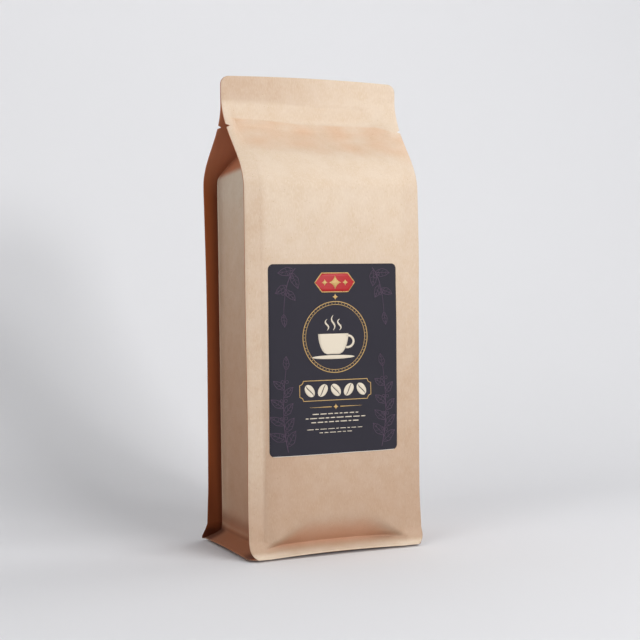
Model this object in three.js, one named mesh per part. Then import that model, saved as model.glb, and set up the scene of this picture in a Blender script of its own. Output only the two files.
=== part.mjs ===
// A shut, filled coffee bag of kraft paper with a printed label stuck on its front.
//
// The bag is a flat-bottom pouch with side gussets. The front and back panels are welded to the
// gussets along a flat fin down each of the four corners, and to the bottom panel along a flange
// round the foot. Above the filled part the gussets fold inwards like the gable of a milk carton,
// and the panels come together in a flat header, with a tear notch in its fins.
//
// Millimetres, +Z up. The bag stands on its bottom panel at z = 0, with its front facing -Y.

import * as THREE from 'three';

const { clamp, lerp, smoothstep } = THREE.MathUtils;

// ---- driving dimensions -------------------------------------------------------------------------

const bagHeight = 318; // floor to the header's top corners
const headerWidth = 130.4; // the flat, welded top
const bodyWidth = 127; // over the fins of the filled part
const bodyDepth = 76; // outer face of the front fins to that of the back fins
const headerThickness = 1.2;
const finThickness = 0.8;
const finWidthTop = 9.6; // the fins widen a little towards the foot
const finWidthFoot = 11.2;
const leastFinWidth = 1; // left where a notch or a rounded corner cuts into a fin
const leastHalfGap = 0.1; // the layers inside never come closer than this to the bag's middle

const shoulderHeight = 242; // the filled part is full up to here
const weldHeight = 300; // the header's weld starts here and the gusset folds end
const foldHeight = 251; // the fold across the top of each gusset
const foldDepth = 37; // how far the gusset has folded in where the weld starts

const creaseHeight = 287; // the bend across the front, just below the header
const creaseReach = { up: 7, down: 14 };
const notchHeight = 284.5;
const notchDepth = 2.6;
const notchHalfHeight = 1.1;
const headerCornerRadius = 5.5;
const headerSeam = 1; // the layers stand apart this far in from the header's ends
const weldStep = 1; // the gusset is pressed flat over this height where the weld starts
const headerBow = 1.3; // the top edge rises a little towards its middle

const faceCrown = 3; // the contents push the panels out past the fins
const faceFlatness = 4; // the power of the face's profile: higher is flatter in the middle
const gussetCrown = 1;

const footHeight = 6.5; // the crease between a panel and the flange
const shelfHeight = 8; // the gussets turn out into the flange here
const flareHeight = 12; // the fins start to spread here
const tuckHeight = 32; // below this the panels draw in towards the crease
const footTuck = 4;
const flarePower = 1.3; // above 1, the foot spreads gently at first and then faster
const flangeReach = 5; // how far the flange stands out in front and behind
const flangeHalfWidth = 63.8;
const flangeThickness = 0.9;
const flangeLift = 1.5; // the flange's clearance midway along each side
const liftReach = { panel: 48, gusset: 38 }; // how far from the middle of a side it lifts
const bottomPanelShare = 0.82; // how much of the foot lies flat on the floor

// The front and back panels differ in where they lean in to meet each other, how far their fins
// draw in at half height, how deep the bend below the header is, and the shape of the foot's corners.
const frontPanel = {
  leanFrom: 242,
  leanTo: 306,
  waist: 0.5,
  creaseDip: 2.4,
  footCornerRadius: 8,
  footSpread: 0,
};
const backPanel = {
  leanFrom: 246,
  leanTo: 299,
  waist: 1.8,
  creaseDip: 0,
  footCornerRadius: 3,
  footSpread: 3,
};

const labelWidth = 93.2;
const labelHeight = 125.5;
const labelCentre = { x: -1.9, z: 130.3 };
const labelCornerRadius = 3.4;
const labelThickness = 0.4;
const labelGap = 0.3;

const kraftColour = '#d9bb98';
const labelColour = '#3a3843';

// ---- how finely each surface is divided ---------------------------------------------------------

const finSteps = 2;
const faceSteps = 18;
const flankSteps = 5;
const gussetHalfSteps = 4;
const labelSteps = 18;
const headerCornerShares = [0, 0.4, 0.7, 0.9, 1]; // how deep into a rounded corner each level lies
const labelCornerShares = [0, 0.15, 0.4, 0.7, 1];

// ---- the bag's form -----------------------------------------------------------------------------

// 1 below `from`, 0 above `to`, and half a cosine wave between them.
const easeDown = (value, from, to) =>
  (1 + Math.cos(Math.PI * clamp((value - from) / (to - from), 0, 1))) / 2;

// How far a quarter circle of this radius has drawn in, at `depth` into the corner.
const cornerInset = (depth, radius) =>
  depth <= 0 ? 0 : radius - Math.sqrt(Math.max(0, radius ** 2 - Math.min(depth, radius) ** 2));

// Half the width over the fins, without their rounded corners and notches.
function halfWidth(z, panel) {
  const drawnIn = panel.waist * Math.sin(Math.PI * clamp(z / shoulderHeight, 0, 1));
  return lerp(bodyWidth, headerWidth, smoothstep(z, shoulderHeight, weldHeight)) / 2 - drawnIn;
}

// How far the foot has spread at height z: 0 from `top` up, 1 at the flange.
const spreadAt = (z, top) => clamp((top - z) / (top - flangeThickness), 0, 1) ** flarePower;

// The outer edge of a fin, with the notch cut into it and its corners rounded off.
function finEdge(z, panel) {
  const notch = notchDepth * Math.max(0, 1 - Math.abs(z - notchHeight) / notchHalfHeight);
  const top = cornerInset(z - (bagHeight - headerCornerRadius), headerCornerRadius);
  const foot = cornerInset(panel.footCornerRadius - z, panel.footCornerRadius);
  return halfWidth(z, panel) + panel.footSpread * spreadAt(z, flareHeight) - notch - top - foot;
}

// Where a fin ends and the panel's face begins.
const finWidth = (z) => lerp(finWidthFoot, finWidthTop, clamp(z / shoulderHeight, 0, 1));
const finRoot = (z, panel) => halfWidth(z, panel) - finWidth(z);

// How full the face is at x: 0 along the fins, 1 in the middle.
const fullness = (x, z, panel) =>
  1 - clamp(Math.abs(x) / finRoot(z, panel), 0, 1) ** faceFlatness;

// The bend below the header presses a panel in, most sharply at the crease.
function creasePress(z, panel) {
  const reach = z > creaseHeight ? creaseReach.up : creaseReach.down;
  return panel.creaseDip * Math.max(0, 1 - Math.abs(z - creaseHeight) / reach);
}

// The distance of a panel's outer surface from the middle of the bag.
function panelOffset(x, z, panel) {
  const full = fullness(x, z, panel);
  const fins = lerp(headerThickness / 2, bodyDepth / 2, easeDown(z, panel.leanFrom, panel.leanTo));
  const crown = faceCrown * easeDown(z, shoulderHeight, creaseHeight);
  const tuck = (footTuck + crown) * (1 - smoothstep(z, footHeight, tuckHeight));
  const face = fins + (crown - tuck - creasePress(z, panel)) * full;
  return lerp(face, bodyDepth / 2 + flangeReach, spreadAt(z, lerp(flareHeight, footHeight, full)));
}

// The x of a gusset between its two fins. It runs out into the flange at the foot, stands upright
// up to the fold, and from there slopes in until the weld closes the gap between the panels.
function gussetX(z, edge) {
  if (z > weldHeight) return edge - headerSeam;
  const upright = bodyWidth / 2 - finWidth(z);
  const folded = foldDepth * clamp((z - foldHeight) / (weldHeight - foldHeight), 0, 1);
  return lerp(upright - folded, flangeHalfWidth, spreadAt(z, shelfHeight));
}

// The flange stays down at its corners and lifts off the floor between them.
const lift = (along, reach, z) =>
  flangeLift * Math.max(0, 1 - (along / reach) ** 2) * (1 - smoothstep(z, footHeight, tuckHeight));

// How far the header's middle rises above its ends.
const bow = (x, z) =>
  headerBow * (1 - (2 * x / headerWidth) ** 2) * smoothstep(z, creaseHeight, bagHeight);

// ---- one closed outline round the bag at height z -----------------------------------------------

// x of the points across a panel, from its left fin edge to its right one.
function panelXs(z, panel) {
  const edge = finEdge(z, panel);
  const root = Math.min(finRoot(z, panel), edge - leastFinWidth);
  const fin = Array.from({ length: finSteps }, (_, i) => lerp(edge, root, i / finSteps));
  const face = Array.from({ length: faceSteps + 1 }, (_, i) =>
    root * Math.sin((i / faceSteps - 0.5) * Math.PI));
  return [...fin.map((x) => -x), ...face, ...fin.reverse()];
}

// How far the contents push a gusset out between fins that are this far from its middle.
const gussetBulge = (z, half) =>
  z < weldHeight ? gussetCrown * smoothstep(half, 0, bodyDepth / 2) : 0;

// From the edge of a right-hand fin, along its inner face, to just short of the gusset's middle.
// Where the gusset stands out past the fin, at the flange, the points round the corner instead.
function gussetHalf(z, panel) {
  const edge = finEdge(z, panel);
  const floor = gussetX(z, edge);
  const corner = Math.max(0, floor - edge);
  const inner = (x) => {
    const offset = panelOffset(Math.min(x, edge), z, panel);
    return offset - Math.min(finThickness, offset - leastHalfGap);
  };
  const points = [];
  for (let i = 0; i < flankSteps; i++) {
    const turn = (i / flankSteps) * (Math.PI / 2);
    const x = lerp(edge, floor, Math.sin(turn));
    points.push([x, inner(x) - corner * (1 - Math.cos(turn))]);
  }
  const half = inner(floor) - corner;
  const crown = gussetBulge(z, half);
  for (let i = 0; i < gussetHalfSteps; i++) {
    const share = 1 - i / gussetHalfSteps;
    points.push([floor + crown * Math.cos((share * Math.PI) / 2), half * share]);
  }
  return points;
}

function bagOutline(z) {
  const front = panelXs(z, frontPanel).map((x) => [x, -panelOffset(x, z, frontPanel)]);
  const back = panelXs(z, backPanel).map((x) => [x, panelOffset(x, z, backPanel)]);
  const frontSide = gussetHalf(z, frontPanel).map(([x, y]) => [x, -y]);
  const backSide = gussetHalf(z, backPanel);
  const middle = [gussetX(z, finEdge(z, backPanel)) + gussetBulge(z, backSide[flankSteps][1]), 0];
  const side = [...frontSide, middle, ...backSide.reverse()];

  const onPanel = ([x, y]) =>
    new THREE.Vector3(x, y, z + lift(x, liftReach.panel, z) + bow(x, z));
  const onSide = ([x, y]) =>
    new THREE.Vector3(x, y, z + lift(y, liftReach.gusset, z) + bow(x, z));
  return [
    ...front.map(onPanel),
    ...side.map(onSide),
    ...back.reverse().map(onPanel),
    ...side.reverse().map(([x, y]) => onSide([-x, y])),
  ];
}

// ---- a closed surface through a stack of outlines -----------------------------------------------

// Skins a stack of outlines with the same number of points, bottom to top, and closes both ends.
function loft(outlines) {
  const count = outlines[0].length;
  const positions = outlines.flat().flatMap((p) => [p.x, p.y, p.z]);
  const indices = [];
  for (let ring = 0; ring < outlines.length - 1; ring++) {
    for (let i = 0; i < count; i++) {
      const a = ring * count + i;
      const b = ring * count + ((i + 1) % count);
      indices.push(a, b, b + count, a, b + count, a + count);
    }
  }
  const cap = (ring, facesDown) => {
    const contour = outlines[ring].map((p) => new THREE.Vector2(p.x, p.y));
    for (const face of THREE.ShapeUtils.triangulateShape(contour, [])) {
      if (facesDown) face.reverse();
      indices.push(...face.map((i) => ring * count + i));
    }
  };
  cap(0, true);
  cap(outlines.length - 1, false);
  const geometry = new THREE.BufferGeometry();
  geometry.setAttribute('position', new THREE.Float32BufferAttribute(positions, 3));
  geometry.setIndex(indices);
  geometry.computeVertexNormals();
  return geometry;
}

// Evenly spaced heights from `from` up to, but not including, `to`.
const heights = (from, to, steps) =>
  Array.from({ length: steps }, (_, i) => lerp(from, to, i / steps));

function bagGeometry() {
  const cornerStart = bagHeight - headerCornerRadius;
  const levels = [
    ...heights(flangeThickness, footHeight, 4),
    ...heights(footHeight, tuckHeight, 7),
    ...heights(tuckHeight, shoulderHeight, 7),
    ...heights(shoulderHeight, notchHeight - notchHalfHeight, 14),
    ...heights(notchHeight - notchHalfHeight, notchHeight + notchHalfHeight, 2),
    notchHeight + notchHalfHeight,
    ...heights(creaseHeight, weldHeight, 5),
    weldHeight,
    weldHeight + weldStep,
    frontPanel.leanTo,
    ...headerCornerShares.map((share) => cornerStart + headerCornerRadius * share),
  ];
  const outlines = levels.map(bagOutline);
  const flange = outlines[0];
  const flangeEdge = flange.map((p) => new THREE.Vector3(p.x, p.y, p.z - flangeThickness));
  const bottomPanel = flange.map((p) =>
    new THREE.Vector3(p.x * bottomPanelShare, p.y * bottomPanelShare, 0));
  return loft([bottomPanel, flangeEdge, ...outlines]);
}

// The label lies just off the front face, follows its crown, and has rounded corners.
function labelGeometry() {
  const bottom = labelCentre.z - labelHeight / 2;
  const top = labelCentre.z + labelHeight / 2;
  const corner = labelCornerShares.map((share) => labelCornerRadius * share);
  const levels = [
    ...corner.map((depth) => bottom + depth),
    ...heights(bottom + labelCornerRadius, top - labelCornerRadius, 6).slice(1),
    ...corner.map((depth) => top - depth).reverse(),
  ];
  const outlineAt = (z) => {
    const intoCorner = labelCornerRadius - Math.min(z - bottom, top - z);
    const half = labelWidth / 2 - cornerInset(intoCorner, labelCornerRadius);
    const row = (offset) =>
      Array.from({ length: labelSteps + 1 }, (_, i) => {
        const x = labelCentre.x + half * ((2 * i) / labelSteps - 1);
        return new THREE.Vector3(x, -panelOffset(x, z, frontPanel) - offset, z);
      });
    return [...row(labelGap + labelThickness), ...row(labelGap).reverse()];
  };
  return loft(levels.map(outlineAt));
}

// ---- the scene graph ----------------------------------------------------------------------------

const kraftPaper = new THREE.MeshStandardMaterial({ color: kraftColour, roughness: 0.85, metalness: 0 });
const labelPaper = new THREE.MeshStandardMaterial({ color: labelColour, roughness: 0.5, metalness: 0 });

const bag = new THREE.Mesh(bagGeometry(), kraftPaper);
bag.name = 'bag';

const label = new THREE.Mesh(labelGeometry(), labelPaper);
label.name = 'label';

const coffeeBag = new THREE.Group();
coffeeBag.name = 'coffee_bag';
coffeeBag.add(bag, label);

export default coffeeBag;
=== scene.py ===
# %% [markdown]
# # A shut bag of coffee in kraft paper
#
# This lesson dresses a plain solid model of a coffee bag. The solid gives the true sizes, and
# everything that is seen is made here: the paper shell with its fins, folds and creases, the label,
# the ink printed on it, and the paper and ink finishes.
#
# Every surface is a formula worked out with numpy on a whole grid at once. All lengths are metres,
# with +Z up, the bag standing on z = 0 and its front facing -Y.

import math

import bpy
import numpy as np
from mathutils import Matrix, Vector


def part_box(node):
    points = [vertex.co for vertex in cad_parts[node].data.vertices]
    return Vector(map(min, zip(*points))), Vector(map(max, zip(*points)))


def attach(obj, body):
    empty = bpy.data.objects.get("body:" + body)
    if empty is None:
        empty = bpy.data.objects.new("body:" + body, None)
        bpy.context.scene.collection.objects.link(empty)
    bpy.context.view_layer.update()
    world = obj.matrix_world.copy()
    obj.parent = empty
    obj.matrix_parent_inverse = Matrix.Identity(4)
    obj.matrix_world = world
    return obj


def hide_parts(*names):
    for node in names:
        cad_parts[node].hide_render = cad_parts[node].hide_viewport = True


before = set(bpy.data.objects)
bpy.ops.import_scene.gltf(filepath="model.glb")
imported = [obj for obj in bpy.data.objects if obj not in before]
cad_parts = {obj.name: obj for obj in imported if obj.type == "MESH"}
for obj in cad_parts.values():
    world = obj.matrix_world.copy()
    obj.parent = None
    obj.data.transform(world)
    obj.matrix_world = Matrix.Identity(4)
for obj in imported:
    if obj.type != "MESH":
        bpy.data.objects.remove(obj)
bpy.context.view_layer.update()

# %% [markdown]
# ## Sizes
#
# The overall sizes come from the frame, so the shell can never drift from the solid. The smaller
# ones, such as the fins and the flange, are the bag maker's choices and are named one by one.
# A pair of values is a stretch, up the bag or across it, over which one form passes into another.

# %% The filled body and the header
MM = 0.001


def mm(*values):
    """Millimetres as metres, for the stretches and rows below."""
    return tuple(v * MM for v in values)


bag_low, bag_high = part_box("bag")
label_low, label_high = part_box("label")

HEADER_BOW = 1.3 * MM            # the top edge rises a little towards its middle
BAG_HEIGHT = bag_high.z - HEADER_BOW
FLANGE_REACH = 5 * MM            # how far the flange stands out in front and behind
BODY_DEPTH = bag_high.y - bag_low.y - 2 * FLANGE_REACH
HEADER_WIDTH = 130.4 * MM
BODY_WIDTH = 127 * MM
HEADER_THICKNESS = 1.2 * MM
FIN_THICKNESS = 0.8 * MM
FIN_WIDTH_TOP = 9.6 * MM
FIN_WIDTH_FOOT = 11.2 * MM
LEAST_FIN = 1 * MM               # left of a fin where a notch or a corner cuts into it
LEAST_HALF_GAP = 0.1 * MM        # the layers come no closer than this to the middle

SHOULDER_HEIGHT = 242 * MM       # the filled part is full up to here
WELD_HEIGHT = 300 * MM           # the header's weld starts here
FOLD_HEIGHT = 251 * MM           # the fold across the top of each gusset
FOLD_DEPTH = 37 * MM
NOTCH_HEIGHT = 284.5 * MM
NOTCH_DEPTH = 2.6 * MM
NOTCH_HALF_HEIGHT = 1.1 * MM
HEADER_CORNER = 5.5 * MM
HEADER_SEAM = 1 * MM             # the layers stand apart this far in from the cut edge
SEAM_LEFT_OPEN = 0.05            # the share of it that is left at the very top
SEAM_CLOSING = 3 * MM

# %% The foot and the two panels
FACE_CROWN = 3.2 * MM            # the contents push the panels out past the fins
LOW_CROWN = 4.15 * MM            # and further in the lower half, where they are packed
FLAT_POWER = 6.0                 # the lower face is flat, and steep next to the fins
ROUND_POWER = 2.8                # the shoulder is round from fin to fin
FACE_ROUNDING = mm(90, 215)      # up the bag, from flat to round
FACE_UNPACKING = mm(120, 220)    # and from the low crown to the face's
GUSSET_CROWN = 0.7 * MM
FOOT_HEIGHT = 6.5 * MM           # the crease between a panel or gusset and the flange
FLARE_HEIGHT = 12 * MM
SPREAD_POWER = 1.3               # above 1, the foot spreads gently at first
TUCK_HEIGHT = 31 * MM            # the panel starts to turn under here, in its middle
TUCK_HEIGHT_CORNER = 10 * MM     # and only here next to the fins
TUCK_FALL = mm(18, 53)           # across the panel, from the one to the other
TUCK_POWER = 2.2
FOOT_TUCK = 6.5 * MM
FLANGE_HALF_WIDTH = 63.8 * MM
FLANGE_THICKNESS = 0.9 * MM
FLANGE_LIFT = 1.2 * MM           # midway along each side, over its corners
FLANGE_EDGE_LIFT = 0.9 * MM      # all round
PANEL_LIFT_REACH = 48 * MM
GUSSET_LIFT_REACH = 38 * MM
FLANGE_EDGE = 0.35 * MM          # the two papers of the flange at their cut edge
FLANGE_GAP_DEPTH = 10 * MM       # the flange stands clear of the floor by this much in
CUT_ROUND = 0.15 * MM            # the paper's cut edges are just rounded over

# lean: where the fins come together. grow_from: where they start to widen to the header's width.
# extra: how much wider the fin on the right (1) or the left (-1) was cut, up to EXTRA_END.
FRONT = {"lean": mm(242, 306), "waist": 0.5 * MM, "crease_dip": 6.2 * MM,
         "foot_corner": 8 * MM, "foot_spread": 0.0, "grow_from": 242 * MM,
         "extra": {1: 1.5 * MM, -1: -0.8 * MM}, "seed": 3}
BACK = {"lean": mm(246, 299), "waist": 0.5 * MM, "crease_dip": 0.0,
        "foot_corner": 3 * MM, "foot_spread": 2.9 * MM, "grow_from": 150 * MM,
        "extra": {1: 0.0, -1: 0.0}, "seed": 11}
EXTRA_END = {1: mm(190, 262), -1: mm(70, 170)}
print("bag height %.1f mm, depth over the fins %.1f mm" % (BAG_HEIGHT / MM, BODY_DEPTH / MM))

# %% [markdown]
# ## The camera
#
# The camera stands 25 degrees to the left of the front, a little above the middle of the bag, and
# looks slightly down. A long lens keeps the bag's upright edges almost parallel.

# %% Camera
LENS = 76.8                      # millimetres, on Blender's 36 mm wide sensor
CAMERA_AZIMUTH = -25.0           # degrees from straight in front, negative to the left
CAMERA_ELEVATION = 2.4
CAMERA_ROLL = -0.34
CAMERA_DISTANCE = 942.3 * MM
CAMERA_AIM = Vector((6.7 * MM, 0, 154.3 * MM))


def direction(azimuth, elevation):
    """Unit vector from the bag towards a place at this azimuth (0 = in front, 90 = at +X)."""
    a = math.radians(azimuth)
    e = math.radians(elevation)
    return Vector((math.sin(a) * math.cos(e), -math.cos(a) * math.cos(e), math.sin(e)))


camera_data = bpy.data.cameras.new("camera")
camera_data.lens = LENS
camera = bpy.data.objects.new("camera", camera_data)
bpy.context.scene.collection.objects.link(camera)
back = direction(CAMERA_AZIMUTH, CAMERA_ELEVATION)
upright = back.to_track_quat("Z", "Y").to_matrix().to_4x4()
camera.matrix_world = (Matrix.Translation(CAMERA_AIM + back * CAMERA_DISTANCE) @ upright
                       @ Matrix.Rotation(math.radians(CAMERA_ROLL), 4, "Z"))
bpy.context.scene.camera = camera
print("camera at", [round(v, 3) for v in camera.matrix_world.translation])

# %% [markdown]
# ## The studio
#
# The bag stands on one sheet of matt, almost white paper that curves up into a wall behind it. A
# floor and a wall could be two planes, but they would meet in a line; a curved sheet has none. It
# is clear from behind, so that the bag's back can be looked at too.

# %% Colours from sRGB hex to linear
def linear(hex_colour):
    """An sRGB colour such as '#d9bb98' as the linear RGBA that Blender's nodes and lights take."""
    value = [int(hex_colour[i:i + 2], 16) / 255 for i in (1, 3, 5)]
    return [v / 12.92 if v <= 0.04045 else ((v + 0.055) / 1.055) ** 2.4 for v in value] + [1.0]


# %% Two helpers for materials
def add(tree, kind, links=(), **settings):
    """Adds one node. links are its inputs by name or number, each either a value or another node's
    output socket; settings are its properties."""
    node = tree.nodes.new(kind)
    for name, value in settings.items():
        setattr(node, name, value)
    for name, value in dict(links).items():
        if isinstance(value, bpy.types.NodeSocket):
            tree.links.new(value, node.inputs[name])
        else:
            node.inputs[name].default_value = value
    return node


def new_material(name):
    """A material whose node tree is still empty, and that tree."""
    material = bpy.data.materials.new(name)
    material.use_nodes = True
    material.node_tree.nodes.clear()
    return material, material.node_tree


# %% Put numpy surfaces into meshes
def new_piece(name, points, faces, material):
    """A smooth mesh object at the origin, from (n, 3) points and a list of face arrays."""
    mesh = bpy.data.meshes.new(name)
    mesh.from_pydata(points, [], [face for group in faces for face in np.asarray(group).tolist()])
    mesh.polygons.foreach_set("use_smooth", np.full(len(mesh.polygons), True))
    mesh.materials.append(material)
    mesh.update()
    piece = bpy.data.objects.new(name, mesh)
    bpy.context.scene.collection.objects.link(piece)
    print("%s: %d triangles" % (name, sum(len(p.vertices) - 2 for p in mesh.polygons)))
    return piece


def skin_faces(rings, columns, closed_up=False):
    """Quads over a stack of closed rings, each with this many points, numbered ring by ring."""
    grid = np.arange(rings * columns).reshape(rings, columns)
    if closed_up:
        grid = np.vstack([grid, grid[:1]])
    here = grid[:-1]
    above = grid[1:]
    quads = np.stack([here, np.roll(here, -1, 1), np.roll(above, -1, 1), above], -1)
    return quads.reshape(-1, 4)


# %% The backdrop
FLOOR_FRONT = -6.0
SWEEP_START = 0.12               # the sheet starts to bend up this far behind the bag
SWEEP_RADIUS = 0.6
SWEEP_LENGTH = 4.5
SWEEP_WIDTH = 12.0
UNDER_THE_BAG = 0.1 * MM         # the sheet lies this far below the bag's foot
BACKDROP_HEX = "#dcdcde"


def backdrop_points(across, along):
    """The sheet is flat up to SWEEP_START, then bends up along a quarter circle and goes on as a
    wall. `along` is the length walked over it from the start of the bend."""
    turn = np.clip(along / SWEEP_RADIUS, 0, np.pi / 2)
    wall = np.maximum(along - SWEEP_RADIUS * np.pi / 2, 0)
    y = SWEEP_START + np.minimum(along, 0) + SWEEP_RADIUS * np.sin(turn)
    z = SWEEP_RADIUS * (1 - np.cos(turn)) + wall - UNDER_THE_BAG
    return np.stack(np.broadcast_arrays(across, y, z), -1)


backdrop, tree = new_material("seamless_paper_matt")
shader = add(tree, "ShaderNodeBsdfPrincipled", {
    "Base Color": linear(BACKDROP_HEX), "Roughness": 0.9, "Specular IOR Level": 0.2})
clear = add(tree, "ShaderNodeBsdfTransparent")
from_behind = add(tree, "ShaderNodeNewGeometry").outputs["Backfacing"]
one_sided = add(tree, "ShaderNodeMixShader", {
    "Fac": from_behind, 1: shader.outputs[0], 2: clear.outputs[0]})
add(tree, "ShaderNodeOutputMaterial", {"Surface": one_sided.outputs[0]})

walk = np.concatenate([np.linspace(FLOOR_FRONT, -0.01, 12), np.linspace(0, SWEEP_LENGTH, 60)])
across = np.linspace(-SWEEP_WIDTH / 2, SWEEP_WIDTH / 2, 25)
sheet_points = backdrop_points(across[None, :], walk[:, None]).reshape(-1, 3)
cells = np.arange(len(walk) * len(across)).reshape(len(walk), len(across))
sheet_quads = np.stack([cells[:-1, :-1], cells[:-1, 1:], cells[1:, 1:], cells[1:, :-1]], -1)
sweep = new_piece("sweep", sheet_points, [sheet_quads.reshape(-1, 4)], backdrop)

# %% [markdown]
# Two soft lamps in front, one above the other, make the shading. A small one high on the right
# lights the shoulder, two on the left fill the gusset and the gable, and a wide one lights the
# wall. The sky is plain: it gives little light, but looks bright where it is seen past the sheet.

# %% The lamps
# name: azimuth and elevation in degrees, distance and width in metres, point aimed at, watts
LAMPS = {
    "key_low": (10, 10, 2.6, 0.4, (0, 0, 0.20), 21.9),
    "key_high": (20, 18, 2.6, 0.4, (0, 0, 0.20), 18.4),
    "shoulder": (35, 30, 0.9, 0.4, (0, 0, 0.33), 4.1),
    "left_fill": (-60, 15, 1.8, 1.2, (0, 0, 0.16), 5.6),
    "left_top": (-65, 30, 0.8, 0.4, (0, 0, 0.33), 1.4),
    "backdrop_right": (60, 35, 2.5, 1.7, (0.4, 1.6, 0.3), 24.4),
}
SKY_HEX = "#eceef2"
SKY_LIGHT = 0.2                  # how strongly the sky lights the scene
SKY_SEEN = 0.85                  # and how bright it looks to the camera

for name, (azimuth, elevation, distance, width, aim, watts) in LAMPS.items():
    lamp_data = bpy.data.lights.new(name, "AREA")
    lamp_data.shape = "SQUARE"
    lamp_data.size = width
    lamp_data.energy = watts
    lamp = bpy.data.objects.new(name, lamp_data)
    bpy.context.scene.collection.objects.link(lamp)
    towards = direction(azimuth, elevation)
    lamp.location = Vector(aim) + towards * distance
    lamp.rotation_euler = towards.to_track_quat("Z", "Y").to_euler()
    lamp.visible_camera = False

world = bpy.data.worlds.new("studio")
world.use_nodes = True
tree = world.node_tree
tree.nodes.clear()
seen = add(tree, "ShaderNodeLightPath").outputs["Is Camera Ray"]
brightness = add(tree, "ShaderNodeMapRange", {
    "Value": seen, "To Min": SKY_LIGHT, "To Max": SKY_SEEN})
sky = add(tree, "ShaderNodeBackground", {
    "Color": linear(SKY_HEX), "Strength": brightness.outputs[0]})
add(tree, "ShaderNodeOutputWorld", {"Surface": sky.outputs[0]})
bpy.context.scene.world = world
bpy.context.scene.view_settings.view_transform = "Standard"
print(len(LAMPS), "lamps and a pale sky")

# %% [markdown]
# ## The form of the bag
#
# A flat-bottom pouch is cut from flat paper: a front and a back panel, a gusset down each side and
# a bottom panel, welded together along fins and a flange. It could be folded up as a cloth
# simulation, but stiff coated paper keeps the folds that the machine gave it. So the shell is a
# loft: at each height one closed outline runs round the bag, and every outline is a formula of
# height. Heights run down an array and points round the outline run across it.

# %% Curves that the formulas are made of
def mix(a, b, share):
    """a where share is 0, b where it is 1, and a straight line between."""
    return a + (b - a) * share


def smoothstep(value, low, high):
    """0 below low, 1 above high, and the smooth cubic 3t^2 - 2t^3 between."""
    t = np.clip((value - low) / (high - low), 0, 1)
    return t * t * (3 - 2 * t)


def fade(value, low, high):
    """1 below low and 0 above high: one less the smooth step."""
    return 1 - smoothstep(value, low, high)


def ease_down(value, low, high):
    """1 below low, 0 above high, and half a cosine wave between."""
    return (1 + np.cos(np.pi * np.clip((value - low) / (high - low), 0, 1))) / 2


def bell(value, middle, width):
    """1 at the middle and less both ways: e to the minus square of the distance over the width."""
    return np.exp(-((value - middle) / width) ** 2)


def tent(value, middle, reach):
    """1 at the middle, falling in a straight line to 0 at the reach on both sides."""
    return np.maximum(0, 1 - np.abs(value - middle) / reach)


def corner_inset(depth, radius):
    """How far a quarter circle has drawn in, at `depth` into the corner."""
    inside = np.clip(depth, 0, radius)
    return radius - np.sqrt(radius ** 2 - inside ** 2)


# %% How far each part stands out at a height
def half_width(z, panel):
    """Half the width over the fins: it grows to the header's, less half a sine wave up the body."""
    drawn_in = panel["waist"] * np.sin(np.pi * np.clip(z / SHOULDER_HEIGHT, 0, 1))
    grown = smoothstep(z, panel["grow_from"], WELD_HEIGHT)
    return mix(BODY_WIDTH, HEADER_WIDTH, grown) / 2 - drawn_in


def spread_at(z, top):
    """How far the foot has spread at height z: 0 from `top` up, 1 at the flange."""
    return np.clip((top - z) / (top - FLANGE_THICKNESS), 0, 1) ** SPREAD_POWER


def fin_edge(z, panel, hand):
    """The cut edge of a fin: the half width, less a notch and the rounded corners. The cut is a
    little off centre, so one fin is wider than the other. hand is 1 on the right, -1 on the left."""
    extra = panel["extra"][hand] * fade(z, *EXTRA_END[hand])
    notch = NOTCH_DEPTH * tent(z, NOTCH_HEIGHT, NOTCH_HALF_HEIGHT)
    top = corner_inset(z - (BAG_HEIGHT - HEADER_CORNER), HEADER_CORNER)
    foot = corner_inset(panel["foot_corner"] - z, panel["foot_corner"])
    spread = panel["foot_spread"] * spread_at(z, FLARE_HEIGHT)
    return half_width(z, panel) + extra + spread - notch - top - foot


def fin_width(z):
    """The fins narrow in a straight line from the foot to the shoulder."""
    return mix(FIN_WIDTH_FOOT, FIN_WIDTH_TOP, np.clip(z / SHOULDER_HEIGHT, 0, 1))


def fullness(x, z, panel):
    """1 in the middle of a panel and 0 on its fins: one minus a power of the share of the way out.
    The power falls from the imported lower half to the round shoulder."""
    root = half_width(z, panel) - fin_width(z)
    power = mix(FLAT_POWER, ROUND_POWER, smoothstep(z, *FACE_ROUNDING))
    return 1 - np.clip(np.abs(x) / root, 0, 1) ** power


# %% [markdown]
# The paper is never quite flat. Broad waves come from the coffee inside, and small dents gather
# where the shoulder bends and beside the foot's corners. All of it could be sculpted by hand, but
# as sums of waves and bell curves every fold keeps a place and a depth that can be read and changed.

# %% Waves and dents
# depth, shortest wave, longest wave
SWELL = mm(0.32, 28, 70)         # over the whole face
CRUMPLE = mm(0.12, 9, 22)        # near the shoulder and the foot
WRINKLE = mm(0.09, 6, 15)        # level, across the shoulder
WRINKLE_SLANT = 0.3              # the lower, the longer they are across

# each dent: across, up, half width, half height, depth, in millimetres
SHOULDER_DENTS = [(-40, 274, 12, 3, 0.35), (-12, 280, 16, 3, 0.40), (20, 275, 17, 4, 0.40),
                  (44, 268, 10, 4, 0.40), (50, 252, 5, 6, 0.60), (-26, 267, 15, 3, -0.30),
                  (8, 262, 14, 3, -0.25), (30, 283, 12, 2, 0.30), (-44, 284, 6, 2, 0.25)]
CORNER_DENTS = [(-49, 13, 2.2, 5, 0.9), (-43, 12, 3, 2.2, -0.4), (-52, 24, 2, 6, 0.4),
                (48, 14, 2.5, 5, 0.6)]


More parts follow.
